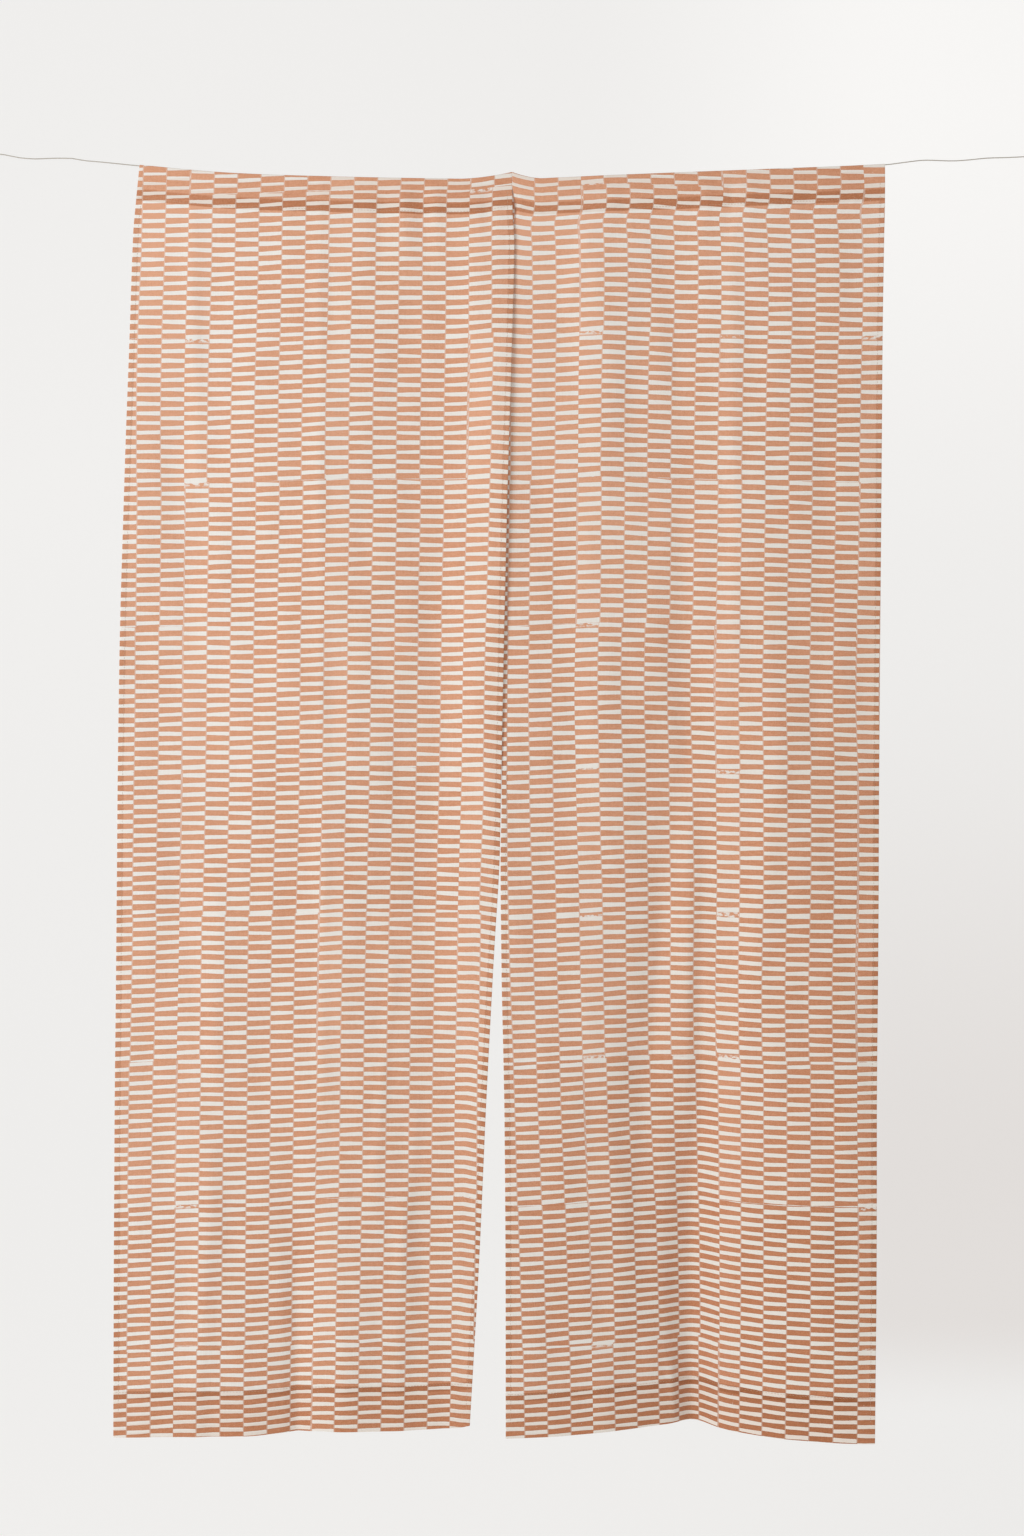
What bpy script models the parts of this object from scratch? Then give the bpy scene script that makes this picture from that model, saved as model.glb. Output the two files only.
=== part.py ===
"""Door curtain: two block-printed cotton panels hanging side by side on one thin wire.

Each panel is one cut and hemmed cloth. Its top edge is turned to the back and sewn down, which
leaves an open-ended pocket that the wire runs through. The origin is on the wire's axis, in the
middle of the doorway. +X is to the right seen from the front, +Y points away from the viewer and
+Z is up. All sizes are in metres.
"""

import math
from collections import namedtuple

import bpy
import numpy as np

# Cloth
SHEET = 0.0010
HEM_EXTRA = 0.0008
SIDE_HEM = 0.007
BOTTOM_HEM = 0.053
HEM_STEP = 0.0025
DROP = 1.485

# Pocket for the wire, measured down from the wire's axis
POCKET = 0.041
SEAM_BAND = 0.012
STRAIGHT_TOP = 0.012
WIRE_GAP = 0.00035

# Wire
WIRE_DIAMETER = 0.0012
WIRE_RINGS = 72
EYE_RADIUS = 0.0055
EYE_STEM = 0.012
EYE_TURNS = 3.5
EYE_RINGS = 30
TWIST_RADIUS = 0.00142
PIECE_GAP = 0.0003

# Number of strips that each panel's faces are made of
INNER_COLUMNS = 25
BODY_ROWS = 27

# The wire's axis: it sags under the cloth, and its bare ends are a little wavy.
WirePoint = namedtuple("WirePoint", "across height")
WIRE_LINE = (
    WirePoint(-0.6070, 0.0312),
    WirePoint(-0.5983, 0.0301),
    WirePoint(-0.5806, 0.0266),
    WirePoint(-0.5629, 0.0253),
    WirePoint(-0.5369, 0.0261),
    WirePoint(-0.5168, 0.0258),
    WirePoint(-0.5074, 0.0236),
    WirePoint(-0.4862, 0.0217),
    WirePoint(-0.4390, 0.0170),
    WirePoint(-0.3245, 0.0073),
    WirePoint(-0.2000, 0.0031),
    WirePoint(-0.0732, 0.0008),
    WirePoint(0.0000, 0.0000),
    WirePoint(0.0600, 0.0024),
    WirePoint(0.1746, 0.0073),
    WirePoint(0.3000, 0.0122),
    WirePoint(0.4390, 0.0182),
    WirePoint(0.4626, 0.0211),
    WirePoint(0.4885, 0.0238),
    WirePoint(0.5192, 0.0229),
    WirePoint(0.5345, 0.0237),
    WirePoint(0.5640, 0.0264),
    WirePoint(0.5817, 0.0268),
    WirePoint(0.6120, 0.0283),
)

# The four upright edges of the cloth: their place across the doorway at some drops.
Edges = namedtuple("Edges", "drop left_outer left_slit right_slit right_outer")
EDGES = (
    Edges(0.000, -0.4390, -0.0004, 0.0006, 0.4396),
    Edges(0.045, -0.4435, 0.0003, 0.0010, 0.4398),
    Edges(0.080, -0.4465, 0.0024, -0.0047, 0.4390),
    Edges(0.200, -0.4508, -0.0005, -0.0083, 0.4373),
    Edges(0.380, -0.4569, -0.0059, -0.0106, 0.4360),
    Edges(0.560, -0.4617, -0.0100, -0.0112, 0.4349),
    Edges(0.740, -0.4640, -0.0136, -0.0121, 0.4342),
    Edges(0.800, -0.4643, -0.0148, -0.0131, 0.4339),
    Edges(0.920, -0.4648, -0.0216, -0.0121, 0.4333),
    Edges(1.100, -0.4661, -0.0310, -0.0086, 0.4318),
    Edges(1.280, -0.4674, -0.0390, -0.0073, 0.4311),
    Edges(1.485, -0.4685, -0.0505, -0.0070, 0.4286),
)

# The lower edge of each panel: its height at some shares of the panel's width.
HemPoint = namedtuple("HemPoint", "share height")
HEMS = {
    "left": (
        HemPoint(0.00, -1.4803),
        HemPoint(0.24, -1.4810),
        HemPoint(0.37, -1.4820),
        HemPoint(0.50, -1.4804),
        HemPoint(0.60, -1.4780),
        HemPoint(0.81, -1.4796),
        HemPoint(0.96, -1.4776),
        HemPoint(1.00, -1.4745),
    ),
    "right": (
        HemPoint(0.00, -1.4906),
        HemPoint(0.10, -1.4910),
        HemPoint(0.29, -1.4891),
        HemPoint(0.46, -1.4868),
        HemPoint(0.52, -1.4870),
        HemPoint(0.60, -1.4898),
        HemPoint(0.77, -1.4917),
        HemPoint(1.00, -1.4918),
    ),
}

# Hanging folds. A fold runs down the cloth from place_top to place_hem, as shares of the width.
# Its depth, away from the viewer, is given at the drops in FOLD_DROPS below the straight top, and
# a minus sign means that the cloth comes forward. It dies out over reach_left and reach_right, and
# a higher power makes a narrower crease, rounded at its bottom by tip.
FOLD_DROPS = (0.0, STRAIGHT_TOP, 0.06, 0.20, 0.40, 0.60, 0.80, 1.00, 1.20, DROP)
Fold = namedtuple("Fold", "name place_top place_hem reach_left reach_right power tip depths")
FOLDS = {
    "left": (
        Fold("outer edge forward", 0.0, 0.0, 0.170, 0.170, 1.5, 0.012,
             (-0.001, -0.001, -0.003, -0.005, -0.008, -0.011, -0.012, -0.008)),
        Fold("outer hollow", 0.20, 0.15, 0.080, 0.110, 1.8, 0.030,
             (0.001, 0.005, 0.006, 0.006, 0.004, 0.001, 0, 0)),
        Fold("inner hollow", 0.80, 0.84, 0.130, 0.070, 1.6, 0.020,
             (0.001, 0.005, 0.008, 0.011, 0.010, 0.008, 0.006, 0.003)),
        Fold("inner side falls back", 1.0, 1.0, 0.310, 0.310, 1.2, 0.012,
             (0, 0, 0, 0.003, 0.007, 0.013, 0.020, 0.021)),
        Fold("swell beside the slit", 0.970, 0.965, 0.054, 0.300, 1.4, 0.012,
             (-0.004, -0.007, -0.0090, -0.0085, -0.0075, -0.002, 0, 0)),
        Fold("edge turns forward", 1.0, 1.0, 0.034, 0.034, 1.3, 0.004,
             (0, 0, 0, 0, -0.001, -0.003, -0.004, -0.004)),
        Fold("hem valley", 0.40, 0.510, 0.060, 0.050, 1.5, 0.006,
             (0, 0, 0, 0, 0.001, 0.001, 0.003, 0.012)),
        Fold("hem swell", 0.62, 0.65, 0.060, 0.110, 1.8, 0.025,
             (0, 0, -0.001, -0.001, 0, 0, -0.001, -0.006)),
    ),
    "right": (
        Fold("main valley", 0.49, 0.505, 0.236, 0.190, 1.55, 0.014,
             (0.004, 0.007, 0.010, 0.014, 0.023, 0.037, 0.052, 0.065)),
        Fold("valley crease", 0.49, 0.505, 0.032, 0.052, 1.3, 0.004,
             (0.001, 0.001, 0.001, 0.001, 0.001, 0.002, 0.006, 0.011)),
        Fold("second trough", 0.640, 0.290, 0.046, 0.030, 1.4, 0.006,
             (0, 0, 0, 0, 0.0040, 0.0065, 0.0035, 0)),
        Fold("pleat between them", 0.512, 0.488, 0.034, 0.016, 1.2, 0.003,
             (0, 0, 0, 0, -0.0045, -0.0085, -0.0020, 0)),
        Fold("fall back at the slit", 0.0, 0.0, 0.400, 0.400, 1.1, 0.012,
             (0, 0, 0, 0, 0.002, 0.006, 0.010, 0.018)),
        Fold("slit edge forward", 0.0, 0.0, 0.080, 0.080, 1.4, 0.004,
             (-0.0005, -0.002, -0.0035, -0.003, -0.0025, -0.001, 0, 0)),
        Fold("tuck behind the left panel", 0.0, 0.0, 0.0095, 0.0095, 1.2, 0.001,
             (0.011, 0.008, 0.002, 0.0005, 0, 0, 0, 0)),
        Fold("outer swell", 0.70, 0.74, 0.080, 0.110, 1.8, 0.025,
             (0, -0.001, -0.002, -0.005, -0.006, -0.004, -0.002, 0)),
        Fold("outer side falls back", 1.0, 1.0, 0.125, 0.125, 1.3, 0.015,
             (0.001, 0.002, 0.003, 0.006, 0.009, 0.010, 0.008, 0.004)),
    ),
}

# Where the two pockets meet, their stiff corners stand above the wire. This dies out at CORNER_DROP.
CORNER_LIFT = 0.0085
CORNER_REACH = {"left": 0.062, "right": 0.036}
CORNER_POWER = 1.6
CORNER_DROP = 0.40

# The shares of the width where the strips are set closer together, and how much closer.
Dense = namedtuple("Dense", "share spread more")
DENSE = {
    "left": (Dense(0.49, 0.06, 1.0), Dense(0.97, 0.09, 2.2)),
    "right": (Dense(0.48, 0.08, 2.0), Dense(0.0, 0.06, 2.5)),
}


def clear_scene():
    for item in list(bpy.data.objects):
        bpy.data.objects.remove(item, do_unlink=True)


def smooth_table(stations, values):
    """A curve through the table's values that never overshoots between two of them."""
    x = np.array(stations, float)
    y = np.array(values, float)
    rise = np.diff(y) / np.diff(x)
    slope = np.empty_like(y)
    slope[0] = rise[0]
    slope[-1] = rise[-1]
    before, after = rise[:-1], rise[1:]
    same_way = before * after > 0
    total = np.where(same_way, before + after, 1.0)
    slope[1:-1] = np.where(same_way, 2 * before * after / total, 0.0)

    def curve(at):
        at = np.clip(at, x[0], x[-1])
        i = np.clip(np.searchsorted(x, at) - 1, 0, len(x) - 2)
        step = x[i + 1] - x[i]
        t = (at - x[i]) / step
        start = (1 + 2 * t) * (1 - t) ** 2 * y[i] + t * (1 - t) ** 2 * step * slope[i]
        end = t * t * (3 - 2 * t) * y[i + 1] + t * t * (t - 1) * step * slope[i + 1]
        return start + end

    return curve


wire_height = smooth_table([p.across for p in WIRE_LINE], [p.height for p in WIRE_LINE])


def fold_depth(side, share, drop, width):
    """How far the cloth lies behind the wire's plane, at one share of its width and one drop."""
    depth = 0.0
    for fold in FOLDS[side]:
        place = fold.place_top + (fold.place_hem - fold.place_top) * drop / DROP
        away = (share - place) * width
        reach = np.where(away < 0, fold.reach_left, fold.reach_right)
        away = np.sqrt(away**2 + fold.tip**2) - fold.tip
        strength = np.clip(1 - away / reach, 0, 1) ** fold.power
        depth = depth + strength * smooth_table(FOLD_DROPS, (0, 0, *fold.depths))(drop)
    return depth


def column_shares(side, width):
    """Where the strips' edges lie across the cloth: both side hems, and between them closer at folds."""
    fine = np.linspace(0, 1, 401)
    density = np.ones_like(fine)
    for dense in DENSE[side]:
        density += dense.more * np.exp(-(((fine - dense.share) / dense.spread) ** 2))
    hem = SIDE_HEM / width
    inner = (hem + HEM_STEP / width, 1 - hem - HEM_STEP / width)
    reached = np.concatenate([[0], np.cumsum((density[1:] + density[:-1]) / 2)])
    first, last = np.interp(inner, fine, reached)
    shares = np.interp(np.linspace(first, last, INNER_COLUMNS), reached, fine)
    return np.concatenate([[0, hem], shares, [1 - hem, 1]])


def body_drops():
    """Drops of the rows from the lower edge up to the pocket's seam, and the rows of the hems."""
    hem_top = DROP - BOTTOM_HEM
    middle = np.linspace(hem_top - HEM_STEP, POCKET + HEM_STEP, BODY_ROWS)
    return np.concatenate([[DROP, hem_top], middle, [POCKET]])


def middle_surface(side, shares, drops):
    """The cloth's middle surface, as an array of points by row and column."""
    outer = "left_outer" if side == "left" else "right_slit"
    inner = "left_slit" if side == "left" else "right_outer"
    edge_drops = [row.drop for row in EDGES]
    first_edge = smooth_table(edge_drops, [getattr(row, outer) for row in EDGES])
    last_edge = smooth_table(edge_drops, [getattr(row, inner) for row in EDGES])
    hem = smooth_table([p.share for p in HEMS[side]], [p.height for p in HEMS[side]])
    points = np.zeros((len(drops), len(shares), 3))
    slit_share = 1.0 if side == "left" else 0.0
    for row, drop in enumerate(drops):
        start, end = float(first_edge(drop)), float(last_edge(drop))
        width = end - start
        depth = fold_depth(side, shares, drop, width)
        flat = np.diff(shares) * width
        seen = np.sqrt(np.maximum(flat**2 - np.diff(depth) ** 2, (0.3 * flat) ** 2))
        across = np.concatenate([[0], np.cumsum(seen)])
        across = start + across / across[-1] * width
        from_slit = np.abs(shares - slit_share) * width
        corner = CORNER_LIFT * np.clip(1 - from_slit / CORNER_REACH[side], 0, 1) ** CORNER_POWER
        corner = corner * np.clip(1 - drop / CORNER_DROP, 0, 1) ** 1.5
        top = wire_height(across)
        points[row, :, 0] = across
        points[row, :, 1] = depth
        points[row, :, 2] = top + (hem(shares) - top) * drop / DROP + corner
    return points


def directions(points):
    """The surface's upward direction and its normal towards the viewer, at each point."""
    sideways = np.gradient(points, axis=1)
    upward = np.gradient(points, axis=0)
    normal = np.cross(sideways, upward)
    normal /= np.linalg.norm(normal, axis=2, keepdims=True)
    upward /= np.linalg.norm(upward, axis=2, keepdims=True)
    return upward, normal


def side_hem_thickness(shares, width):
    """The side hems' second layer, which lies on the back."""
    from_edge = np.minimum(shares, 1 - shares) * width
    return HEM_EXTRA * (from_edge < SIDE_HEM + HEM_STEP / 2)


def panel_mesh(name, side):
    """One closed solid: the cloth from its lower edge to the seam, and the pocket's open loop."""
    top = EDGES[0]
    width = top.left_slit - top.left_outer if side == "left" else top.right_outer - top.right_slit
    shares = column_shares(side, width)
    seam_top = POCKET - SEAM_BAND
    pocket_drops = np.array([seam_top, (seam_top + STRAIGHT_TOP) / 2, STRAIGHT_TOP, 0.0])
    drops = np.concatenate([body_drops(), pocket_drops])
    points = middle_surface(side, shares, drops)
    upward, normal = directions(points)
    body = len(body_drops())
    loop_radius = WIRE_DIAMETER / 2 + WIRE_GAP
    hem_extra = side_hem_thickness(shares, width)

    # Offsets of the front and back faces from the middle surface, one value for each row.
    half = SHEET / 2
    bottom_hem = np.where(drops > DROP - BOTTOM_HEM - HEM_STEP / 2, HEM_EXTRA, 0)
    front = np.full(len(drops), half)
    back = half + bottom_hem
    outside = loop_radius + SHEET
    back[body - 1] = outside - 0.25 * SHEET
    front[body:] = (0.7 * SHEET, 1.3 * SHEET, outside, outside)
    back[body:] = (outside - 0.15 * SHEET, outside - 0.05 * SHEET, outside, outside)
    below_pocket = (drops > POCKET)[:, None]
    extra = np.where(below_pocket, np.maximum(hem_extra[None, :] - bottom_hem[:, None], 0), 0)
    front_points = points + normal * front[:, None, None]
    back_points = points - normal * (back[:, None] + extra)[:, :, None]
    inside_front = points + normal * (front - SHEET)[:, None, None]
    inside_back = points - normal * (back - SHEET)[:, None, None]

    def over_wire(radius):
        """The rows that carry the cloth over the wire, from the front to the back."""
        rows = []
        for turn in (45, 90, 135):
            angle = math.radians(turn)
            lean = math.cos(angle) * normal[-1] + math.sin(angle) * upward[-1]
            rows.append(points[-1] + radius * lean)
        return rows

    outer_rows = list(front_points) + over_wire(outside) + list(back_points[::-1])
    inner_rows = list(inside_front[body:]) + over_wire(loop_radius) + list(inside_back[body:][::-1])

    columns = len(shares)
    rows = outer_rows + inner_rows
    vertices = np.concatenate(rows)
    outer_count, inner_count = len(outer_rows), len(inner_rows)

    def vertex(row, column):
        return row * columns + column

    faces = []
    for column in range(columns - 1):
        for row in range(outer_count):
            here, up = vertex(row, column), vertex((row + 1) % outer_count, column)
            faces.append((here, here + 1, up + 1, up))
        for row in range(inner_count):
            here = vertex(outer_count + row, column)
            up = vertex(outer_count + (row + 1) % inner_count, column)
            faces.append((here, up, up + 1, here + 1))
    for column, turned in ((0, False), (columns - 1, True)):
        end_faces = []
        for row in range(body):
            other = outer_count - 1 - row
            end_faces.append((row, row + 1, other - 1, other))
        for step in range(inner_count - 1):
            end_faces.append((body + step, body + step + 1, outer_count + step + 1, outer_count + step))
        end_faces.append((body, outer_count, outer_count + inner_count - 1, body + inner_count - 1))
        for face in end_faces:
            corners = [vertex(row, column) for row in face]
            faces.append(tuple(corners[::-1] if turned else corners))

    mesh = bpy.data.meshes.new(name)
    mesh.from_pydata([tuple(p) for p in vertices], [], faces)
    mesh.shade_smooth()
    mesh.set_sharp_from_angle(angle=math.radians(40))
    return mesh


def tube(name, points):
    """A round wire along the points, closed at both ends."""
    curve = bpy.data.curves.new(name, "CURVE")
    curve.dimensions = "3D"
    curve.bevel_depth = WIRE_DIAMETER / 2
    curve.bevel_resolution = 2
    curve.use_fill_caps = True
    spline = curve.splines.new("POLY")
    spline.points.add(len(points) - 1)
    for spot, place in zip(spline.points, points):
        spot.co = (*place, 1.0)
    spline.use_smooth = True
    wire = bpy.data.objects.new(name, curve)
    bpy.context.scene.collection.objects.link(wire)
    return wire


def wire_points():
    across = np.linspace(WIRE_LINE[0].across, WIRE_LINE[-1].across, WIRE_RINGS)
    return [(x, 0.0, float(wire_height(x))) for x in across]


def eye_points(direction):
    """The wire's end: a straight stem, a round eye, and the tail wound back round the stem."""
    end = WIRE_LINE[0] if direction < 0 else WIRE_LINE[-1]
    start = np.array([end.across + direction * PIECE_GAP, 0.0, end.height])
    route = []
    for along in np.linspace(0, EYE_STEM, 8):
        route.append((along, 0.0, 0.0))
    centre = EYE_STEM + EYE_RADIUS * 1.15
    for turn in np.linspace(0.12, 0.88, EYE_RINGS):
        angle = math.pi - 2 * math.pi * turn
        side_step = TWIST_RADIUS * (turn - 0.5)
        x = centre + EYE_RADIUS * math.cos(angle)
        route.append((x, side_step, -EYE_RADIUS * math.sin(angle)))
    wound = int(EYE_TURNS * 10)
    first_wound = EYE_STEM - 0.0015
    last_wound = EYE_STEM - 0.0095
    for step in range(wound + 1):
        share = step / wound
        angle = math.pi / 2 + 2 * math.pi * EYE_TURNS * share
        along = first_wound + (last_wound - first_wound) * share
        route.append((along, TWIST_RADIUS * math.cos(angle), TWIST_RADIUS * math.sin(angle)))
    return [tuple(start + np.array((direction * x, y, z))) for x, y, z in route]


def material(name, colour, roughness, metallic):
    made = bpy.data.materials.new(name)
    made.use_nodes = True
    shader = made.node_tree.nodes["Principled BSDF"]
    shader.inputs["Base Color"].default_value = (*colour, 1.0)
    shader.inputs["Roughness"].default_value = roughness
    shader.inputs["Metallic"].default_value = metallic
    made.diffuse_color = (*colour, 1.0)
    return made


def build():
    clear_scene()
    cotton = material("printed_cotton", (0.62, 0.40, 0.30), 0.9, 0.0)
    steel = material("wire_steel", (0.60, 0.57, 0.52), 0.4, 0.8)
    hanging = bpy.data.objects.new("hanging_line", None)
    bpy.context.scene.collection.objects.link(hanging)
    for side in ("left", "right"):
        name = f"panel_{side}"
        panel = bpy.data.objects.new(name, panel_mesh(name, side))
        bpy.context.scene.collection.objects.link(panel)
        panel.data.materials.append(cotton)
        panel.parent = hanging
    for name, route in (
        ("wire", wire_points()),
        ("wire_eye_left", eye_points(-1)),
        ("wire_eye_right", eye_points(1)),
    ):
        piece = tube(name, route)
        piece.data.materials.append(steel)
        piece.parent = hanging


build()
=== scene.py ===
# %% [markdown]
# # A block-printed cotton door curtain
#
# The real curtain is two narrow panels of thin cotton that hang side by side on one steel wire.
# Each panel is a single cut cloth: its sides are turned to the back and stitched, its lower edge is
# turned up into a deep hem, and its top edge is turned down into a pocket for the wire. The print
# is a common one of offset bars, stamped by hand with a carved wooden block.
#
# The lesson builds it in that order: camera, wire, room and light, then the hanging shape, the
# cloth, its stitches, and last the finishes. All sizes are in metres. +X is to the right, +Y points
# away from the viewer, +Z is up, and the origin is on the wire between the two panels.

import math
from collections import namedtuple

import bpy
import numpy as np
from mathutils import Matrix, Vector


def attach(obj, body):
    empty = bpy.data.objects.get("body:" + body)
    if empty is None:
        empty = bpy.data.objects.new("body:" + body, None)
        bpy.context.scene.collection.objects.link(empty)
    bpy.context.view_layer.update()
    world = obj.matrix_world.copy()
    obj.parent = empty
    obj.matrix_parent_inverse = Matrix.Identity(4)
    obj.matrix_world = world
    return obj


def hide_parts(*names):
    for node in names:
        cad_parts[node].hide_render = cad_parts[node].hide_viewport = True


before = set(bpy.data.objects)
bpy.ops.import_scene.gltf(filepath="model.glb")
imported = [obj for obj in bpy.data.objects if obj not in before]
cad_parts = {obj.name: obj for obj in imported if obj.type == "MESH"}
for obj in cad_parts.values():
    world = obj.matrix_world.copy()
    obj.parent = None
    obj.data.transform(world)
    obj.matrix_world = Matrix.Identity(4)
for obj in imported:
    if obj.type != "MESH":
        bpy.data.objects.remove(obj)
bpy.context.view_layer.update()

# %% [markdown]
# ## Camera
#
# The curtain is seen square on, from a little above the middle of its height. A level camera keeps
# the panels' sides upright, and a lens of about 50 mm from two and a half metres gives the mild
# perspective that the folds need. The framing is done with the camera's place alone, so no shift
# is used, and depth of field stays off.

# %% Camera
CAMERA_DISTANCE = 2.5
CAMERA_HEIGHT = -0.6934
VIEW_HEIGHT = 1.8125

camera_lens = bpy.data.cameras.new("camera")
camera_lens.sensor_width = 36.0
camera_lens.lens = camera_lens.sensor_width * CAMERA_DISTANCE / VIEW_HEIGHT
camera = bpy.data.objects.new("camera", camera_lens)
camera.location = (0.0, -CAMERA_DISTANCE, CAMERA_HEIGHT)
camera.rotation_euler = (math.radians(90), 0.0, 0.0)
bpy.context.scene.collection.objects.link(camera)
bpy.context.scene.camera = camera
print("camera: lens", round(camera_lens.lens, 1), "mm")

# %% [markdown]
# ## Smooth curves through short tables
#
# The wire, the edges of the cloth and the depth of each fold are known at a few places only. A
# curve through them should not swing past them, as a plain spline would, because cloth and wire
# don't. A cubic whose slopes are the harmonic means of its neighbours' keeps between the values.


# %% Smooth table
def smooth_table(stations, values):
    """A curve through the table's values that never overshoots between two of them."""
    x = np.array(stations, float)
    y = np.array(values, float)
    rise = np.diff(y) / np.diff(x)
    slope = np.empty_like(y)
    slope[0] = rise[0]
    slope[-1] = rise[-1]
    before, after = rise[:-1], rise[1:]
    same_way = before * after > 0
    total = np.where(same_way, before + after, 1.0)
    slope[1:-1] = np.where(same_way, 2 * before * after / total, 0.0)

    def curve(at):
        at = np.clip(at, x[0], x[-1])
        i = np.clip(np.searchsorted(x, at) - 1, 0, len(x) - 2)
        step = x[i + 1] - x[i]
        t = (at - x[i]) / step
        start = (1 + 2 * t) * (1 - t) ** 2 * y[i] + t * (1 - t) ** 2 * step * slope[i]
        end = t * t * (3 - 2 * t) * y[i + 1] + t * t * (t - 1) * step * slope[i + 1]
        return start + end

    return curve


def table(row_type, *rows):
    """The rows of a short table, each with its columns named by the row type."""
    return tuple(row_type(*row) for row in rows)


# %% [markdown]
# ## The wire
#
# A thin steel wire runs through both pockets. It sags under the cloth and its bare ends are a
# little wavy, as wire off a reel is. A curve with a round bevel is the natural tool: its own line is
# the wire's centre line, so the length and the diameter can be read straight off it.

# %% Wire
WIRE_DIAMETER = 0.0012
WIRE_RINGS = 140
PIECE_GAP = 0.0003

WirePoint = namedtuple("WirePoint", "across height")
WIRE_LINE = table(
    WirePoint,
    (-0.6070, 0.0312),
    (-0.5983, 0.0301),
    (-0.5806, 0.0266),
    (-0.5629, 0.0253),
    (-0.5369, 0.0261),
    (-0.5168, 0.0258),
    (-0.5074, 0.0236),
    (-0.4862, 0.0217),
    (-0.4390, 0.0170),
    (-0.3245, 0.0073),
    (-0.2000, 0.0031),
    (-0.0732, 0.0008),
    (0.0000, 0.0000),
    (0.0600, 0.0024),
    (0.1746, 0.0073),
    (0.3000, 0.0122),
    (0.4390, 0.0182),
    (0.4626, 0.0211),
    (0.4885, 0.0238),
    (0.5192, 0.0229),
    (0.5345, 0.0237),
    (0.5640, 0.0264),
    (0.5817, 0.0268),
    (0.6120, 0.0283),
)
wire_height = smooth_table([p.across for p in WIRE_LINE], [p.height for p in WIRE_LINE])


def round_wire(name, points):
    """A round wire along the points, closed at both ends."""
    curve = bpy.data.curves.new(name, "CURVE")
    curve.dimensions = "3D"
    curve.bevel_depth = WIRE_DIAMETER / 2
    curve.bevel_resolution = 3
    curve.use_fill_caps = True
    spline = curve.splines.new("POLY")
    spline.points.add(len(points) - 1)
    for spot, place in zip(spline.points, points):
        spot.co = (*place, 1.0)
    spline.use_smooth = True
    made = bpy.data.objects.new(name, curve)
    bpy.context.scene.collection.objects.link(made)
    return made


wire_across = np.linspace(WIRE_LINE[0].across, WIRE_LINE[-1].across, WIRE_RINGS)
wire_places = [(x, 0.0, float(wire_height(x))) for x in wire_across]
hanging_wire = round_wire("hanging_wire", wire_places)

# %% [markdown]
# ## The wire's eyes
#
# Each end of the wire is bent into an eye for a hook, and its tail is wound back round the stem.
# The route is worked out as a straight stem, an arc and a helix, and the same round bevel carries
# it. The windings lie a wire's thickness outside the stem, so the tail rests on it.

# %% Eyes
EYE_RADIUS = 0.0055
EYE_STEM = 0.012
EYE_TURNS = 3.5
TWIST_RADIUS = 0.00142


def eye_places(direction):
    """The wire's end: a straight stem, a round eye, and the tail wound back round the stem."""
    end = WIRE_LINE[0] if direction < 0 else WIRE_LINE[-1]
    start = np.array([end.across + direction * PIECE_GAP, 0.0, end.height])
    route = [(along, 0.0, 0.0) for along in np.linspace(0, EYE_STEM, 8)]
    centre = EYE_STEM + EYE_RADIUS * 1.15
    for turn in np.linspace(0.12, 0.88, 60):
        angle = math.pi - 2 * math.pi * turn
        side_step = TWIST_RADIUS * (turn - 0.5)
        route.append((centre + EYE_RADIUS * math.cos(angle), side_step, -EYE_RADIUS * math.sin(angle)))
    wound = int(EYE_TURNS * 16)
    for step in range(wound + 1):
        share = step / wound
        angle = math.pi / 2 + 2 * math.pi * EYE_TURNS * share
        along = EYE_STEM - 0.0015 - 0.008 * share
        route.append((along, TWIST_RADIUS * math.cos(angle), TWIST_RADIUS * math.sin(angle)))
    return [tuple(start + np.array((direction * x, y, z))) for x, y, z in route]


eyes = {}
for name, direction in (("left", -1), ("right", 1)):
    eyes[name] = round_wire(f"wire_eye_{name}_bent", eye_places(direction))
    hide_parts(f"wire_eye_{name}")
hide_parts("wire")
print("eyes:", [eye.name for eye in eyes.values()])

# %% [markdown]
# ## Room and light
#
# The curtain hangs in front of a plain pale wall. A floor and a wall that meet in a wide curve show
# no corner behind the cloth. They stand well back, so that the curtain can also be looked at from
# behind. Most of the light is a pale sky from all sides. One broad lamp stands in front, to the left
# and rather near, so that its light falls off towards the right, as it does in a small studio. The
# paint of the wall glows a little too, as if the backdrop had its own lamps.

# %% Room
FLOOR_HEIGHT = -2.02
WALL_DISTANCE = 5.4
COVE_RADIUS = 2.4


def pale_room():
    """A floor that curves up into a wall, as one smooth strip."""
    profile = [(-9.0, FLOOR_HEIGHT)]
    for turn in np.linspace(0, 90, 25):
        angle = math.radians(turn)
        y = WALL_DISTANCE - COVE_RADIUS + COVE_RADIUS * math.sin(angle)
        z = FLOOR_HEIGHT + COVE_RADIUS - COVE_RADIUS * math.cos(angle)
        profile.append((y, z))
    profile.append((WALL_DISTANCE, 7.0))
    corners = [(x, y, z) for y, z in profile for x in (-12.0, 12.0)]
    faces = [(2 * i, 2 * i + 1, 2 * i + 3, 2 * i + 2) for i in range(len(profile) - 1)]
    mesh = bpy.data.meshes.new("pale_room")
    mesh.from_pydata(corners, [], faces)
    mesh.shade_smooth()
    return bpy.data.objects.new("pale_room", mesh)


room = pale_room()
bpy.context.scene.collection.objects.link(room)

lamp_light = bpy.data.lights.new("soft_lamp", "AREA")
lamp_light.shape = "DISK"
lamp_light.size = 2.4
lamp_light.energy = 108.0
lamp_light.color = (0.975, 0.985, 1.0)
lamp = bpy.data.objects.new("soft_lamp", lamp_light)
lamp.location = (-3.5, -3.3, 0.1)
lamp.rotation_euler = (Vector((0.0, 0.0, -0.65)) - lamp.location).to_track_quat("-Z", "Y").to_euler()
lamp.visible_camera = False
bpy.context.scene.collection.objects.link(lamp)

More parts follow.
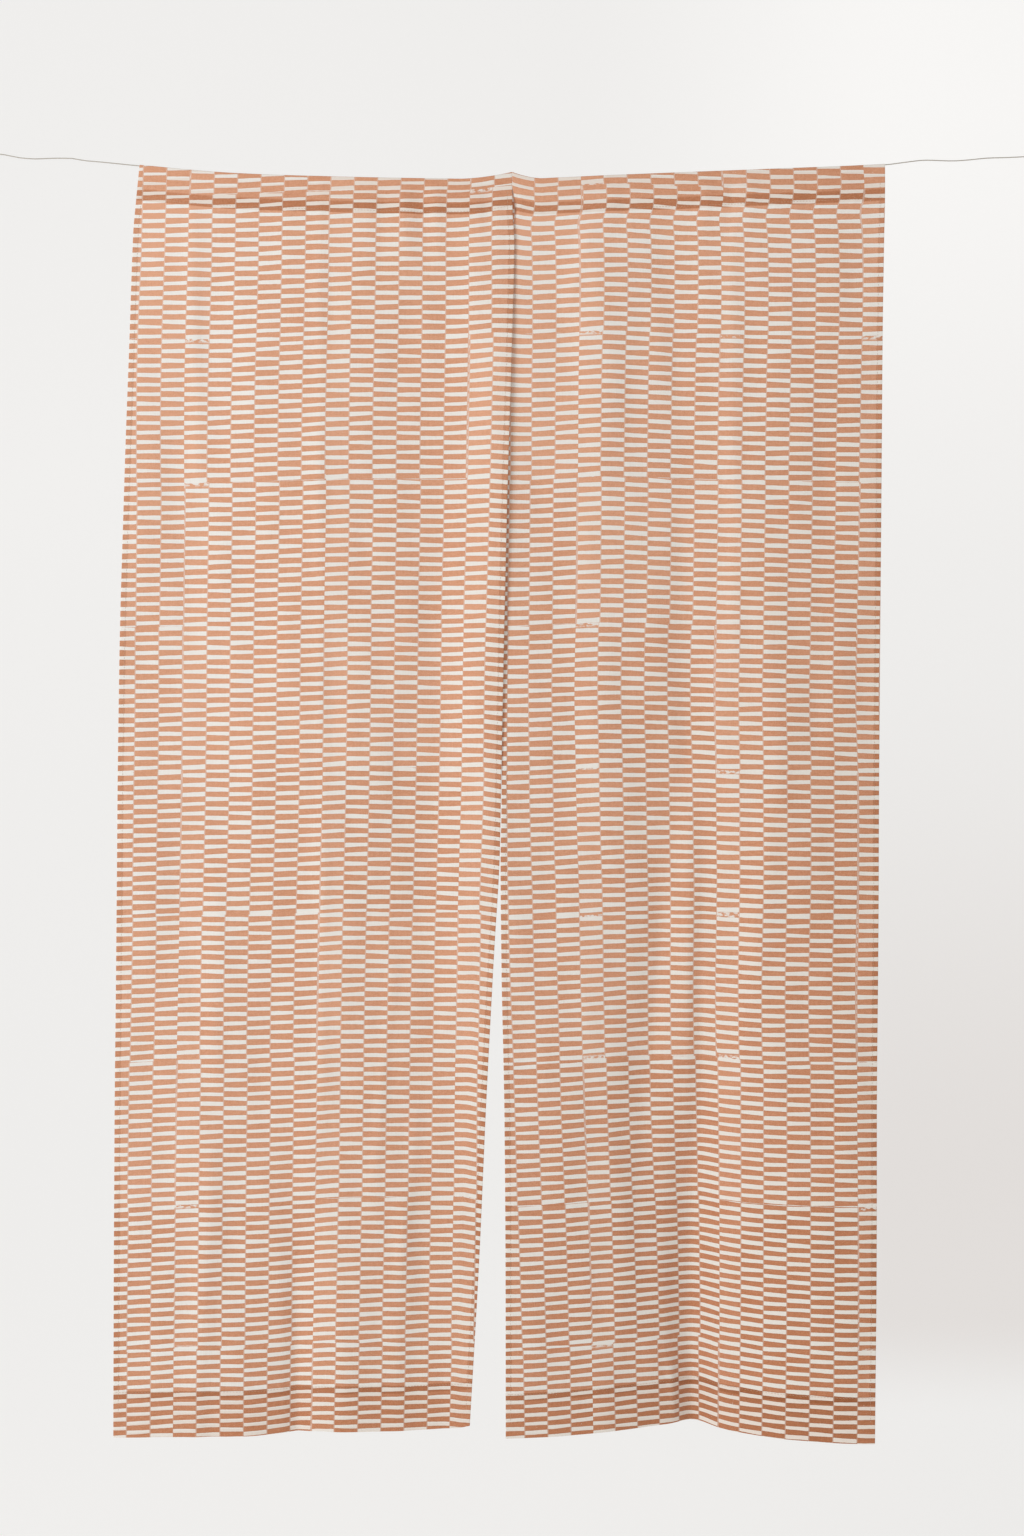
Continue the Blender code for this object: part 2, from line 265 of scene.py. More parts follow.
sky = bpy.data.worlds.new("pale_sky")
sky.use_nodes = True
sky.node_tree.nodes["Background"].inputs["Color"].default_value = (1.0, 0.993, 0.982, 1.0)
sky.node_tree.nodes["Background"].inputs["Strength"].default_value = 0.53
bpy.context.scene.world = sky
bpy.context.scene.view_settings.view_transform = "Standard"
print("room: wall", WALL_DISTANCE, "m behind the wire")

# %% [markdown]
# ## Where the cloth hangs
#
# Four upright edges and the line of the hem give each panel its outline. Between them the cloth
# hangs in long soft folds that start at the wire and grow towards the floor. Each fold is one line
# of a table: where it runs, how far it reaches to each side, and how deep it is on its way down. A
# cloth simulation would give folds of its own choosing. These have to be the folds of this curtain,
# so they are placed one by one. The edges and the hem line are measured on the photograph, and the
# depth of a fold is judged from its shading.

# %% Cloth sizes
DROP = 1.485
POCKET = 0.041
SEAM_BAND = 0.012
STRAIGHT_TOP = 0.012
BOTTOM_HEM = 0.053
SIDE_HEM = 0.007

# %% Edges and hem line
Edges = namedtuple("Edges", "drop left_outer left_slit right_slit right_outer")
EDGES = table(
    Edges,
    (0.000, -0.4390, -0.0004, 0.0006, 0.4396),
    (0.045, -0.4435, 0.0003, 0.0010, 0.4398),
    (0.080, -0.4465, 0.0024, -0.0047, 0.4390),
    (0.200, -0.4508, -0.0005, -0.0083, 0.4373),
    (0.380, -0.4569, -0.0059, -0.0106, 0.4360),
    (0.560, -0.4617, -0.0100, -0.0112, 0.4349),
    (0.740, -0.4640, -0.0136, -0.0121, 0.4342),
    (0.800, -0.4643, -0.0148, -0.0131, 0.4339),
    (0.920, -0.4648, -0.0216, -0.0121, 0.4333),
    (1.100, -0.4661, -0.0310, -0.0086, 0.4318),
    (1.280, -0.4674, -0.0390, -0.0073, 0.4311),
    (1.485, -0.4685, -0.0505, -0.0070, 0.4286),
)

HemPoint = namedtuple("HemPoint", "share height")
HEMS = {
    "left": table(
        HemPoint,
        (0.00, -1.4803),
        (0.24, -1.4810),
        (0.37, -1.4820),
        (0.50, -1.4804),
        (0.60, -1.4780),
        (0.81, -1.4796),
        (0.96, -1.4776),
        (1.00, -1.4745),
    ),
    "right": table(
        HemPoint,
        (0.00, -1.4906),
        (0.10, -1.4910),
        (0.29, -1.4891),
        (0.46, -1.4868),
        (0.52, -1.4870),
        (0.60, -1.4898),
        (0.77, -1.4917),
        (1.00, -1.4918),
    ),
}

# %% Folds
FOLD_DROPS = (0.0, STRAIGHT_TOP, 0.06, 0.20, 0.40, 0.60, 0.80, 1.00, 1.20, DROP)
Fold = namedtuple("Fold", "name place_top place_hem reach_left reach_right power tip depths")
FOLDS = {
    "left": (
        Fold("outer edge forward", 0.0, 0.0, 0.170, 0.170, 1.5, 0.012,
             (-0.001, -0.001, -0.003, -0.005, -0.008, -0.011, -0.012, -0.008)),
        Fold("outer hollow", 0.20, 0.15, 0.080, 0.110, 1.8, 0.030,
             (0.001, 0.005, 0.006, 0.006, 0.004, 0.001, 0, 0)),
        Fold("inner hollow", 0.80, 0.84, 0.130, 0.070, 1.6, 0.020,
             (0.001, 0.005, 0.008, 0.011, 0.010, 0.008, 0.006, 0.003)),
        Fold("inner side falls back", 1.0, 1.0, 0.310, 0.310, 1.2, 0.012,
             (0, 0, 0, 0.003, 0.007, 0.013, 0.020, 0.021)),
        Fold("swell beside the slit", 0.970, 0.965, 0.054, 0.300, 1.4, 0.012,
             (-0.004, -0.007, -0.0090, -0.0085, -0.0075, -0.002, 0, 0)),
        Fold("edge turns forward", 1.0, 1.0, 0.034, 0.034, 1.3, 0.004,
             (0, 0, 0, 0, -0.001, -0.003, -0.004, -0.004)),
        Fold("hem valley", 0.40, 0.510, 0.060, 0.050, 1.5, 0.006,
             (0, 0, 0, 0, 0.001, 0.001, 0.0025, 0.009)),
        Fold("hem crease", 0.360, 0.512, 0.016, 0.020, 1.2, 0.002,
             (0, 0, 0, 0, 0, 0, 0.001, 0.004)),
        Fold("hem swell", 0.62, 0.65, 0.060, 0.110, 1.8, 0.025,
             (0, 0, -0.001, -0.001, 0, 0, -0.001, -0.006)),
    ),
    "right": (
        Fold("main valley", 0.49, 0.505, 0.236, 0.190, 1.55, 0.014,
             (0.004, 0.007, 0.010, 0.014, 0.023, 0.037, 0.052, 0.065)),
        Fold("valley crease", 0.49, 0.505, 0.032, 0.052, 1.3, 0.004,
             (0.001, 0.001, 0.001, 0.001, 0.001, 0.002, 0.006, 0.011)),
        Fold("second trough", 0.640, 0.290, 0.046, 0.030, 1.4, 0.006,
             (0, 0, 0, 0, 0.0040, 0.0065, 0.0035, 0)),
        Fold("pleat between them", 0.512, 0.488, 0.034, 0.016, 1.2, 0.003,
             (0, 0, 0, 0, -0.0045, -0.0085, -0.0020, 0)),
        Fold("fall back at the slit", 0.0, 0.0, 0.400, 0.400, 1.1, 0.012,
             (0, 0, 0, 0, 0.002, 0.006, 0.010, 0.018)),
        Fold("slit edge forward", 0.0, 0.0, 0.080, 0.080, 1.4, 0.004,
             (-0.0005, -0.002, -0.0035, -0.003, -0.0025, -0.001, 0, 0)),
        Fold("tuck behind the left panel", 0.0, 0.0, 0.0095, 0.0095, 1.2, 0.001,
             (0.011, 0.008, 0.002, 0.0005, 0, 0, 0, 0)),
        Fold("outer swell", 0.70, 0.74, 0.080, 0.110, 1.8, 0.025,
             (0, -0.001, -0.002, -0.005, -0.006, -0.004, -0.002, 0)),
        Fold("outer side falls back", 1.0, 1.0, 0.125, 0.125, 1.3, 0.015,
             (0.001, 0.002, 0.003, 0.006, 0.009, 0.010, 0.008, 0.004)),
    ),
}


def fold_depth(side, share, drop, width):
    """How far the cloth lies behind the wire's plane, at one share of its width and one drop."""
    depth = 0.0
    for fold in FOLDS[side]:
        place = fold.place_top + (fold.place_hem - fold.place_top) * drop / DROP
        away = (share - place) * width
        reach = np.where(away < 0, fold.reach_left, fold.reach_right)
        away = np.sqrt(away**2 + fold.tip**2) - fold.tip
        strength = np.clip(1 - away / reach, 0, 1) ** fold.power
        depth = depth + strength * smooth_table(FOLD_DROPS, (0, 0, *fold.depths))(drop)
    return depth


print("folds:", {side: [fold.name for fold in folds] for side, folds in FOLDS.items()})

# %% [markdown]
# ## Creases and ripples
#
# Thin cotton is never quite smooth between its main folds. It keeps soft creases from being folded
# away, it puckers where it is gathered on the wire and along the stitching, and it waves a little
# everywhere. A crease is a straight shallow trough or ridge between two places on the cloth, and a
# pucker is a short upright one below the wire: both are listed one by one. The waves and the ripple
# along the stitching are sums of a few sines of fixed lengths, so each run gives the same cloth.

# %% Creases and ripples
Crease = namedtuple("Crease", "name share_a drop_a share_b drop_b width depth")
CREASES = {
    "left": table(
        Crease,
        ("long ridge", 0.480, -0.10, 0.560, 1.22, 0.008, -0.0014),
        ("outer ridge", 0.150, 0.01, 0.190, 0.40, 0.010, -0.0016),
        ("lower slant", 0.735, 0.90, 0.700, 1.22, 0.007, -0.0015),
        ("lower slant beside it", 0.815, 1.08, 0.780, 1.32, 0.008, -0.0014),
        ("seat crease", 0.250, 0.80, 0.270, 1.12, 0.013, -0.0014),
        ("hem ridge", 0.268, 1.08, 0.215, 1.60, 0.013, -0.0022),
        ("inner hem ridge", 0.785, 1.14, 0.800, 1.60, 0.015, -0.0026),
    ),
    "right": table(
        Crease,
        ("upper swell", 0.262, -0.05, 0.262, 0.85, 0.032, -0.0036),
        ("upper slant", 0.235, 0.05, 0.160, 0.17, 0.009, -0.0014),
        ("valley's upper end", 0.440, 0.00, 0.495, 0.74, 0.015, 0.0015),
        ("upper ridge", 0.605, 0.00, 0.616, 0.62, 0.010, -0.0016),
        ("slanting ridge", 0.752, 0.55, 0.630, 1.15, 0.018, -0.0026),
        ("outer crease", 0.860, 0.30, 0.830, 0.70, 0.014, 0.0014),
        ("lower swell", 0.290, 1.12, 0.320, 1.40, 0.020, -0.0030),
        ("hem pleat", 0.440, 1.40, 0.452, 1.49, 0.006, -0.0030),
    ),
}
Pucker = namedtuple("Pucker", "share spread depth")
PUCKERS = {
    "left": table(
        Pucker,
        (0.655, 0.010, 0.0016),
        (0.712, 0.007, -0.0014),
        (0.760, 0.009, 0.0022),
        (0.800, 0.007, -0.0014),
        (0.935, 0.008, 0.0016),
    ),
    "right": table(
        Pucker,
        (0.300, 0.010, 0.0012),
        (0.520, 0.009, -0.0014),
        (0.588, 0.007, 0.0018),
        (0.640, 0.008, -0.0014),
        (0.800, 0.010, 0.0012),
    ),
}


def crease_depth(side, share, drop, width):
    depth = 0.0
    for crease in CREASES[side]:
        along_drop = crease.drop_b - crease.drop_a
        along_width = (crease.share_b - crease.share_a) * width
        length = math.hypot(along_drop, along_width)
        x = (share - crease.share_a) * width
        y = drop - crease.drop_a
        along = (x * along_width + y * along_drop) / length**2
        beside = (x * along_drop - y * along_width) / length
        fade = np.clip(np.minimum(along, 1 - along) / 0.18, 0, 1)
        fade = fade * fade * (3 - 2 * fade)
        depth = depth + crease.depth * fade * np.exp(-((beside / crease.width) ** 2))
    return depth


def pucker_depth(side, share, drop, width):
    """Small upright waves where the cloth is gathered on the wire, gone by a hand's width below."""
    fade = np.clip((drop - 0.004) / 0.02, 0, 1) * np.clip(1 - (drop - 0.035) / 0.085, 0, 1)
    depth = 0.0
    for pucker in PUCKERS[side]:
        depth = depth + pucker.depth * np.exp(-(((share - pucker.share) * width / pucker.spread) ** 2))
    return depth * fade


Wave = namedtuple("Wave", "across down start depth")
WAVES = table(
    Wave,
    (0.115, 0.62, 0.3, 0.00050),
    (0.071, -0.41, 1.9, 0.00034),
    (0.047, 0.27, 4.1, 0.00022),
    (0.031, -0.19, 2.6, 0.00012),
)


def wave_depth(side, share, drop, width):
    shift = 0.0 if side == "left" else 2.2
    fade = np.clip((drop - 0.02) / 0.08, 0, 1)
    depth = 0.0
    for wave in WAVES:
        turn = 2 * math.pi * (share * width / wave.across + drop / wave.down)
        depth = depth + wave.depth * np.sin(turn + wave.start + shift)
    return depth * fade


def stitched_ripple(share, drop, width):
    """The cloth draws up a little between the stitches of the pocket and of the hem."""
    x = share * width
    wave = np.sin(2 * math.pi * x / 0.0131) + 0.7 * np.sin(2 * math.pi * x / 0.0187 + 1.3)
    near = 0.0
    for line in (POCKET, DROP - BOTTOM_HEM):
        near = near + np.exp(-(((drop - line) / 0.006) ** 2))
    return 0.00016 * wave * near


def cloth_depth(side, share, drop, width):
    depth = fold_depth(side, share, drop, width)
    depth = depth + crease_depth(side, share, drop, width)
    depth = depth + pucker_depth(side, share, drop, width)
    depth = depth + wave_depth(side, share, drop, width)
    return depth + stitched_ripple(share, drop, width)


print("creases:", sum(len(c) for c in CREASES.values()), "puckers:", sum(len(p) for p in PUCKERS.values()))

# %% [markdown]
# ## The hanging surface
#
# The folds take up width: a strip of cloth that runs into a valley looks narrower from the front
# than it is. So the strips' places across the doorway come from their true width and their depth,
# fitted between the panel's two edges. Above the wire the stiff corners of the two pockets stand up
# a little where they meet.

# %% Hanging surface
CORNER_LIFT = 0.0085
CORNER_REACH = {"left": 0.062, "right": 0.036}
CORNER_POWER = 1.6
CORNER_DROP = 0.40


def hanging_surface(side, shares, drops):
    """The cloth's middle surface and the distance across the cloth, by row and column."""
    outer = "left_outer" if side == "left" else "right_slit"
    inner = "left_slit" if side == "left" else "right_outer"
    edge_drops = [row.drop for row in EDGES]
    first_edge = smooth_table(edge_drops, [getattr(row, outer) for row in EDGES])
    last_edge = smooth_table(edge_drops, [getattr(row, inner) for row in EDGES])
    hem = smooth_table([p.share for p in HEMS[side]], [p.height for p in HEMS[side]])
    points = np.zeros((len(drops), len(shares), 3))
    cloth = np.zeros((len(drops), len(shares)))
    slit_share = 1.0 if side == "left" else 0.0
    for row, drop in enumerate(drops):
        start, end = float(first_edge(drop)), float(last_edge(drop))
        width = end - start
        main_depth = fold_depth(side, shares, drop, width)
        flat = np.diff(shares) * width
        seen = np.sqrt(np.maximum(flat**2 - np.diff(main_depth) ** 2, (0.3 * flat) ** 2))
        across = np.concatenate([[0], np.cumsum(seen)])
        across = start + across / across[-1] * width
        from_slit = np.abs(shares - slit_share) * width
        corner = CORNER_LIFT * np.clip(1 - from_slit / CORNER_REACH[side], 0, 1) ** CORNER_POWER
        corner = corner * np.clip(1 - drop / CORNER_DROP, 0, 1) ** 1.5
        top = wire_height(across)
        points[row, :, 0] = across
        points[row, :, 1] = cloth_depth(side, shares, drop, width)
        points[row, :, 2] = top + (hem(shares) - top) * drop / DROP + corner
        steps = np.hypot(np.diff(across), np.diff(main_depth))
        cloth[row, 1:] = np.cumsum(steps)
    return points, cloth


# %% [markdown]
# ## The path of the cloth
#
# Followed from one raw edge to the other, a panel starts inside the seam of the pocket, turns round
# its lower edge, climbs behind the wire, passes over it, hangs down the front, turns round the hem's
# fold and ends inside the hem. The sides are turned to the back in the same way. So the whole
# panel can be one grid: rows follow that path, and columns start and end in the side hems. A
# Solidify modifier then gives the grid the thickness of the cloth.

# %% Path of the cloth
CLOTH = 0.0004
LAYER = 0.00045
LOOP_RADIUS = 0.00115
FRONT = 0.0003
SEAM_STEP = 0.00022
POCKET_BACK = -0.00065
POCKET_INSIDE = -0.0002
HEM_BACK = -0.0005
HEM_INSIDE = -0.0001
OVER_WIRE = 0.003
HEM_TURN = 0.001
COLUMNS = 132
BODY_ROWS = 196

# A station on the path: the drop whose surface it hangs from, its distance in front of that
# surface and above it, and the distance along the cloth from the top of the wire.
Station = namedtuple("Station", "drop front above along")


def turned(drop, front_from, front_to, along, direction, steps):
    """The half circle of a fold, from one layer to the next; direction is 1 for upwards."""
    radius = abs(front_to - front_from) / 2
    middle = (front_to + front_from) / 2
    sign = 1 if front_from > front_to else -1
    stations = []
    for angle in np.linspace(0, math.pi, steps + 2)[1:-1]:
        front = middle + sign * radius * math.cos(angle)
        above = direction * radius * math.sin(angle)
        stations.append(Station(drop, front, above, along + radius * angle))
    return stations


def pocket_opening(drop):
    """0 at the pocket's seam and below it, 1 where the wire holds the two layers apart."""
    return np.clip((POCKET - drop) / (POCKET - STRAIGHT_TOP), 0, 1)


def cloth_path():
    seam_top = POCKET - SEAM_BAND
    hem_top = DROP - BOTTOM_HEM
    path = []
    # Inside the pocket's seam, then up behind the wire.
    for drop in np.linspace(seam_top + 0.001, POCKET, 4):
        path.append(Station(drop, POCKET_INSIDE, 0.0, -2 * POCKET + drop))
    path += turned(POCKET, POCKET_INSIDE, POCKET_BACK, -POCKET, -1, 3)
    for drop in np.linspace(POCKET, 0.0, 12):
        front = POCKET_BACK - (LOOP_RADIUS + POCKET_BACK) * pocket_opening(drop)
        path.append(Station(drop, front, 0.0, -drop - CLOTH))
    over = turned(0.0, LOOP_RADIUS, -LOOP_RADIUS, -CLOTH, 1, 7)
    path += [Station(0.0, -s.front, s.above, s.along) for s in over]
    # Down the front, to the hem's lower fold.
    for drop in np.concatenate([np.linspace(0.0, POCKET, 14), [POCKET + 0.002, POCKET + 0.004]]):
        step = SEAM_STEP * np.clip((POCKET + 0.004 - drop) / 0.004, 0, 1)
        front = FRONT + step + (LOOP_RADIUS - FRONT - SEAM_STEP) * pocket_opening(drop)
        path.append(Station(drop, front, 0.0, drop + OVER_WIRE))
    for drop in np.linspace(POCKET + 0.008, hem_top - 0.006, BODY_ROWS):
        path.append(Station(drop, FRONT, 0.0, drop + OVER_WIRE))
    hem_drops = np.linspace(hem_top + 0.001, DROP, 16)
    for drop in (hem_top - 0.003, hem_top - 0.001, *hem_drops):
        step = SEAM_STEP * np.clip((drop - hem_top + 0.002) / 0.003, 0, 1)
        path.append(Station(drop, FRONT + step, 0.0, drop + OVER_WIRE))
    path += turned(DROP, FRONT + SEAM_STEP, HEM_BACK, DROP + OVER_WIRE, -1, 5)
    # Up the back of the hem, and inside it.
    turn_end = OVER_WIRE + HEM_TURN
    for drop in np.linspace(DROP, hem_top, 14):
        path.append(Station(drop, HEM_BACK, 0.0, 2 * DROP - drop + turn_end))
    path += turned(hem_top, HEM_BACK, HEM_INSIDE, DROP + BOTTOM_HEM + turn_end, 1, 3)
    for drop in np.linspace(hem_top, hem_top + 0.008, 3):
        along = DROP + BOTTOM_HEM + turn_end + 0.0005 + drop - hem_top
        path.append(Station(drop, HEM_INSIDE, 0.0, along))
    return path


path = cloth_path()
cloth_length = path[-1].along - path[0].along
print("path:", len(path), "rows,", round(cloth_length, 3), "m from raw edge to raw edge")

# %% [markdown]
# ## Where the print lies on the cloth
#
# The printer laid the cloth on a table and set the block down by eye, so the print doesn't run
# quite parallel with the later hems. Both panels are cut from one printed length. Three short tables
# say how it lies: how far its first and last whole column lines are from the panel's left edge, how
# far its rows climb above the cloth's own level, and what it does in the narrow strips beside the
# slit. They are measured on the photograph. The print's coordinates go into a UV map in metres, and
# the cloth's own into a second one.

# %% Print placing
COLUMN = 0.02757
PRINT_COLUMNS = {"left": 15, "right": 14}
# The right panel comes this many columns further along the printed length.
PANELS_APART = 60
ColumnLines = namedtuple("ColumnLines", "drop first last")
COLUMN_LINES = {
    "left": table(
        ColumnLines,
        (0.00, 0.0045, 0.4175),
        (0.10, 0.0100, 0.4250),
        (0.20, 0.0092, 0.4289),
        (0.44, 0.0158, 0.4338),
        (0.67, 0.0195, 0.4345),
        (0.90, 0.0177, 0.4289),
        (1.14, 0.0155, 0.4267),
        (1.485, 0.0140, 0.4276),
    ),
    "right": table(
        ColumnLines,
        (0.00, 0.0250, 0.4138),
        (0.045, 0.0280, 0.4165),
        (0.08, 0.0362, 0.4262),
        (0.13, 0.0375, 0.4280),
        (0.25, 0.0342, 0.4241),
        (0.49, 0.0318, 0.4201),
        (0.60, 0.0297, 0.4189),
        (0.72, 0.0320, 0.4239),
        (0.84, 0.0371, 0.4276),
        (1.08, 0.0402, 0.4279),
        (1.20, 0.0440, 0.4333),
        (1.43, 0.0484, 0.4438),
        (1.485, 0.0493, 0.4461),
    ),
}
# How far the rows lie above the cloth's level, at five shares of its width from left to right.
RowClimb = namedtuple("RowClimb", "drop at_left at_quarter at_middle at_three_quarters at_right")
ROW_CLIMBS = {
    "left": table(
        RowClimb,
        (0.000, -0.0195, -0.0078, 0.0, 0.0035, 0.0045),
        (0.470, -0.0139, -0.0050, 0.0, 0.0031, 0.0033),
        (0.870, -0.0113, -0.0036, 0.0, 0.0017, 0.0004),
        (1.280, -0.0070, -0.0018, 0.0, 0.0022, 0.0008),
        (1.485, -0.0048, -0.0014, 0.0, 0.0026, 0.0012),
    ),
    "right": table(
        RowClimb,
        (0.000, 0.0060, 0.0070, 0.0, -0.0072, -0.0109),
        (0.470, 0.0040, 0.0056, 0.0, -0.0047, -0.0103),
        (0.870, 0.0020, 0.0026, 0.0, -0.0017, -0.0048),
        (1.280, 0.0005, 0.0020, 0.0, 0.0002, 0.0000),
        (1.485, 0.0009, 0.0018, 0.0, 0.0008, 0.0010),
    ),
}
# Where the right panel's outermost line lies from its slit edge, and how far the rows sag in the
# last strip of cloth before the left panel's slit edge.
SlitPrint = namedtuple("SlitPrint", "drop outermost_line row_sag")
SLIT_PRINT = table(
    SlitPrint,
    (0.00, -0.0028, 0.0015),
    (0.08, 0.0083, 0.0025),
    (0.36, 0.0086, 0.0025),
    (0.52, 0.0060, 0.0026),
    (0.68, 0.0045, 0.0040),
    (0.80, 0.0074, 0.0048),
    (1.14, 0.0138, 0.0054),
    (1.485, 0.0215, 0.0044),
)
SAG_WIDTH = 0.022


def row_climb(side, share, drop):
    rows = ROW_CLIMBS[side]
    drops = [row.drop for row in rows]
    columns = [smooth_table(drops, [row[1 + k] for row in rows])(drop) for k in range(5)]
    return smooth_table((0, 0.25, 0.5, 0.75, 1), columns)(share)


def print_place(side, share, drop, across, width, along):
    """The print's own coordinates of a place on the cloth, in metres."""
    rows = COLUMN_LINES[side]
    drops = [row.drop for row in rows]
    first = smooth_table(drops, [row.first for row in rows])(drop)
    last = smooth_table(drops, [row.last for row in rows])(drop)
    u = (across - first) / (last - first) * PRINT_COLUMNS[side] * COLUMN
    v = along + row_climb(side, share, drop)
    drops = [row.drop for row in SLIT_PRINT]
    if side == "right":
        outermost = smooth_table(drops, [row.outermost_line for row in SLIT_PRINT])(drop)
        u = np.where(across < first, -COLUMN * (first - across) / (first - outermost), u)
        return u + PANELS_APART * COLUMN, v
    sag = smooth_table(drops, [row.row_sag for row in SLIT_PRINT])(drop)
    return u, v - sag * np.clip((across - width) / SAG_WIDTH + 1, 0, 1) ** 1.25


# %% [markdown]
# ## Making a panel
#
# For each row of the path the hanging surface is read at that row's drop, and the cloth is set off
# from it along the surface's normal and its upward direction. The side hems are extra columns: they
# go round the edge in a small half circle and run back inside, always on the cloth's inner face. The
# faces are wound so that the printed side looks outwards, and Solidify thickens them inwards.

# %% Panel mesh
SIDE_TURN_STEPS = 3
LIP_COLUMNS = 3
EDGE_STRIP = 0.012
EDGE_COLUMNS = 10


def column_layout(width):
    """For each column: its share of the width, how far it lies behind the cloth's face and outside
    its edge, and its distance past the edge, measured along the cloth."""
    shares, inward, outward, past = [], [], [], []
    lip = np.linspace(SIDE_HEM, 0.0004, LIP_COLUMNS)
    angles = np.linspace(math.pi, 0, SIDE_TURN_STEPS + 2)[1:-1]
    radius = LAYER / 2
    for distance in lip:
        shares.append(distance / width)
        inward.append(LAYER)
        outward.append(0.0)
        past.append(-distance - math.pi * radius)
    for angle in angles:
        shares.append(0.0)
        inward.append(radius * (1 - math.cos(angle)))
        outward.append(radius * math.sin(angle))
        past.append(-radius * angle)
    edge = EDGE_STRIP / width
    near = np.linspace(0, edge, EDGE_COLUMNS)[:-1]
    main = np.concatenate([near, np.linspace(edge, 1 - edge, COLUMNS - 2 * len(near)), 1 - near[::-1]])
    layout = [np.array(shares), np.array(inward), np.array(outward), np.array(past)]
    shares = np.concatenate([layout[0], main, 1 - layout[0][::-1]])
    inward = np.concatenate([layout[1], np.zeros(COLUMNS), layout[1][::-1]])
    outward = np.concatenate([-layout[2], np.zeros(COLUMNS), layout[2][::-1]])
    past = np.concatenate([layout[3], np.zeros(COLUMNS), -layout[3][::-1]])
    return shares, inward, outward, past


def unit(vectors):
    return vectors / np.linalg.norm(vectors, axis=-1, keepdims=True)


def panel_grid(side, width):
    """Points, print places and cloth places of one panel, by row and column."""
    shares, inward, outward, past = column_layout(width)
    distinct, where = np.unique(shares, return_inverse=True)
    drops = np.array([station.drop for station in path])
    level, back = np.unique(drops, return_inverse=True)
    surface, cloth = hanging_surface(side, distinct, level)
    sideways = unit(np.gradient(surface, axis=1))
    upward = -unit(np.gradient(surface, axis=0))
    normal = unit(np.cross(sideways, upward))
    points = np.zeros((len(path), len(shares), 3))
    places = np.zeros((len(path), len(shares), 4))
    fronts = np.array([station.front for station in path])
    aboves = np.array([station.above for station in path])
    alongs = np.array([station.along for station in path])
    for row in range(len(path)):
        k = back[row]
        base = surface[k][where]
        out, up, across = normal[k][where], upward[k][where], sideways[k][where]
        before, after = max(row - 1, 0), min(row + 1, len(path) - 1)
        step_front = fronts[after] - fronts[before]
        step_down = (drops[after] - aboves[after]) - (drops[before] - aboves[before])
        length = math.hypot(step_front, step_down) or 1.0
        # The cloth's inner face, seen along the path: behind it on the front, before it on the back.
        inner = -out * (step_down / length) - up * (step_front / length)
        shape = base + out * fronts[row] + up * aboves[row]
        shape = shape + inner * inward[:, None] + across * outward[:, None]
        points[row] = shape
        distance = cloth[k][where] + past
        full = cloth[k][-1]
        distance = np.where(past < 0, past, np.where(past > 0, full + past, distance))
        u, v = print_place(side, shares, drops[row], distance, full, alongs[row])
        places[row, :, 0], places[row, :, 1] = u, v
        places[row, :, 2], places[row, :, 3] = np.minimum(distance, full - distance), alongs[row]
    return points, places


def panel_mesh(name, side):
    top = EDGES[0]
    width = top.left_slit - top.left_outer if side == "left" else top.right_outer - top.right_slit
    points, places = panel_grid(side, width)
    rows, columns = points.shape[:2]
    index = np.arange(rows * columns).reshape(rows, columns)
    # The path runs down the front, so this winding turns the printed side to the viewer.
    quads = np.stack([index[:-1, :-1], index[1:, :-1], index[1:, 1:], index[:-1, 1:]], axis=-1)
    quads = quads.reshape(-1, 4)
    mesh = bpy.data.meshes.new(name)
    mesh.from_pydata(points.reshape(-1, 3).tolist(), [], quads.tolist())
    flat_places = places.reshape(-1, 4)[quads.reshape(-1)]
    for label, pair in (("print", flat_places[:, :2]), ("cloth", flat_places[:, 2:])):
        layer = mesh.uv_layers.new(name=label)
        layer.uv.foreach_set("vector", pair.astype(np.float32).ravel())
    mesh.shade_smooth()
    return mesh, points


panels, grids = {}, {}
for side in ("left", "right"):
    name = f"cloth_{side}"
    mesh, grids[side] = panel_mesh(name, side)
    panel = bpy.data.objects.new(name, mesh)
    bpy.context.scene.collection.objects.link(panel)
    thicken = panel.modifiers.new("cloth thickness", "SOLIDIFY")
    thicken.thickness = CLOTH
    thicken.offset = 0.0
    thicken.material_offset = 1
    panels[side] = panel
    print(name, len(panel.data.polygons), "faces before it is thickened")

# %% [markdown]
# ## Stitches
#
# Every hem is held by a running line of thread: one row under the pocket, one along the top of the
# lower hem and one down each side. A drawn line would look flat close by, so each stitch is a short
# tube that dips into the cloth at both ends. The same seam shows on the back, with its stitches
# between those of the front.

# %% Stitches
THREAD = 0.00034
STITCH = 0.0027
STITCH_STEP = 0.0037
SEAM_INSET = 0.0026
STITCH_SIDES = 6
STITCH_SWELL = (0.55, 0.95, 1.0, 0.95, 0.55)
HEM_LAYERS = 0.00145
SIDE_LAYERS = 0.00085
SEAM_ENDS = slice(6, -6)


def along_seam(points, normals, first):
    """Start, middle and end of each stitch on a line of points, with the direction it stands out in."""
    steps = np.linalg.norm(np.diff(points, axis=0), axis=1)
    reached = np.concatenate([[0], np.cumsum(steps)])
    starts = np.arange(first, reached[-1] - STITCH, STITCH_STEP)
    stitches = []
    for start in starts:
        at = start + STITCH * np.array([0, 0.14, 0.5, 0.86, 1])
        spots = np.stack([np.interp(at, reached, points[:, k]) for k in range(3)], axis=1)
        out = unit(np.array([np.interp(start, reached, normals[:, k]) for k in range(3)]))
        lift = THREAD * np.array([-0.6, 0.12, 0.32, 0.12, -0.6])
        stitches.append((spots + out * lift[:, None], out))
    return stitches


